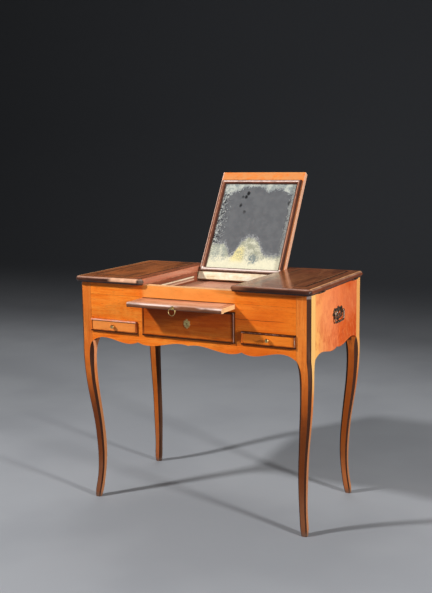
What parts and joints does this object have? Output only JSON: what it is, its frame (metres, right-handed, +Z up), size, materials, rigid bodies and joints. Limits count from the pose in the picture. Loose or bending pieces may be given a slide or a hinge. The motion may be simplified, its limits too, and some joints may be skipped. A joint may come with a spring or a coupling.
{
  "type": "dressing table",
  "caption": "Dressing table on cabriole legs with a raised mirror between hinged lids, a writing slide with a ring pull and drawers in the front.",
  "frame": {"origin": "On the floor, under the middle of the whole table as it stands with its mirror up: 16 mm behind the middle of the case.", "axes": "+X is to the user's right along the front, +Y is to the back, +Z is up."},
  "size_m": [0.7848, 0.6493, 1.0213],
  "materials": {
    "veneer": "polished orange-brown fruitwood veneer",
    "leg_wood": "polished fruitwood, darker towards the feet",
    "lid_veneer": "glossy reddish-brown veneer with dark stringing",
    "dark_moulding": "dark stained and polished moulding",
    "slide_wood": "worn pinkish-brown writing surface",
    "inner_wood": "plain unpolished secondary wood",
    "pale_wood": "pale bare wood",
    "brass": "worn yellow brass",
    "aged_bronze": "dark patinated bronze",
    "steel": "dulled steel",
    "mirror": "old silvered glass with foxing"
  },
  "bodies": {
    "case": {"front_left_leg": "leg_wood", "front_right_leg": "leg_wood", "rear_left_leg": "leg_wood", "rear_right_leg": "leg_wood", "left_side_panel": "veneer", "right_side_panel": "veneer", "back_panel": "inner_wood", "front_top_rail": "veneer", "left_front_flank": "veneer", "right_front_flank": "veneer", "slide_rail": "veneer", "front_apron": "veneer", "bottom_board": "inner_wood", "left_partition": "inner_wood", "right_partition": "inner_wood", "recess_floor": "inner_wood", "recess_back": "pale_wood", "well_floors": "inner_wood", "recess_ledges": "pale_wood", "rear_top_strip": "lid_veneer", "pivot_brackets": "aged_bronze", "slide_runners": "inner_wood", "drawer_guides": "inner_wood", "lid_hinge_case_leaves": "brass", "lid_hinge_pins": "brass", "case_screws": "steel", "handle_plates": "aged_bronze", "handle_bolts": "aged_bronze"},
    "left_lid": {"left_lid_board": "lid_veneer", "left_lid_nosing": "dark_moulding", "left_lid_hinge_leaves": "brass", "left_lid_screws": "steel"},
    "right_lid": {"right_lid_board": "lid_veneer", "right_lid_nosing": "dark_moulding", "right_lid_hinge_leaves": "brass", "right_lid_screws": "steel"},
    "mirror": {"mirror_panel": "veneer", "mirror_glass": "mirror", "mirror_mouldings": "dark_moulding", "mirror_pivot_pins": "steel"},
    "slide": {"slide_board": "slide_wood", "slide_end_clamps": "slide_wood", "slide_nosing": "dark_moulding", "slide_pull_boss": "brass"},
    "pull_ring": {"slide_pull_ring": "brass"},
    "centre_drawer": {"centre_drawer_front": "veneer", "centre_drawer_walls": "inner_wood", "centre_drawer_bottom": "inner_wood", "centre_drawer_escutcheon": "brass", "centre_drawer_lock": "steel"},
    "left_drawer": {"left_drawer_front": "veneer", "left_drawer_walls": "inner_wood", "left_drawer_bottom": "inner_wood", "left_drawer_knob": "brass"},
    "right_drawer": {"right_drawer_front": "veneer", "right_drawer_walls": "inner_wood", "right_drawer_bottom": "inner_wood", "right_drawer_knob": "brass"},
    "left_bail": {"left_bail": "aged_bronze"},
    "right_bail": {"right_bail": "aged_bronze"}
  },
  "joints": [
    {"name": "left_lid_hinge", "type": "hinge", "parent": "case", "child": "left_lid", "pos_m": [-0.388, -0.016, 0.703], "axis": [0, -1, 0], "range_deg": [0, 180]},
    {"name": "right_lid_hinge", "type": "hinge", "parent": "case", "child": "right_lid", "pos_m": [0.388, -0.016, 0.703], "axis": [0, 1, 0], "range_deg": [0, 180]},
    {"name": "mirror_pivot", "type": "hinge", "parent": "case", "child": "mirror", "pos_m": [0, 0.1287, 0.7072], "axis": [1, 0, 0], "range_deg": [0, 120.6]},
    {"name": "writing_slide", "type": "slide", "parent": "case", "child": "slide", "axis": [0, -1, 0], "range_m": [-0.07, 0.15]},
    {"name": "pull_ring_swing", "type": "hinge", "parent": "slide", "child": "pull_ring", "pos_m": [0, -0.3215, 0.65665], "axis": [-1, 0, 0], "range_deg": [0, 85]},
    {"name": "centre_drawer_slide", "type": "slide", "parent": "case", "child": "centre_drawer", "axis": [0, -1, 0], "range_m": [-0.007, 0.24]},
    {"name": "left_drawer_slide", "type": "slide", "parent": "case", "child": "left_drawer", "axis": [0, -1, 0], "range_m": [-0.007, 0.24]},
    {"name": "right_drawer_slide", "type": "slide", "parent": "case", "child": "right_drawer", "axis": [0, -1, 0], "range_m": [-0.006, 0.24]},
    {"name": "left_bail_swing", "type": "hinge", "parent": "case", "child": "left_bail", "pos_m": [-0.3882, -0.012, 0.626], "axis": [0, 1, 0], "range_deg": [0, 95]},
    {"name": "right_bail_swing", "type": "hinge", "parent": "case", "child": "right_bail", "pos_m": [0.3882, -0.012, 0.626], "axis": [0, -1, 0], "range_deg": [0, 95]}
  ]
}
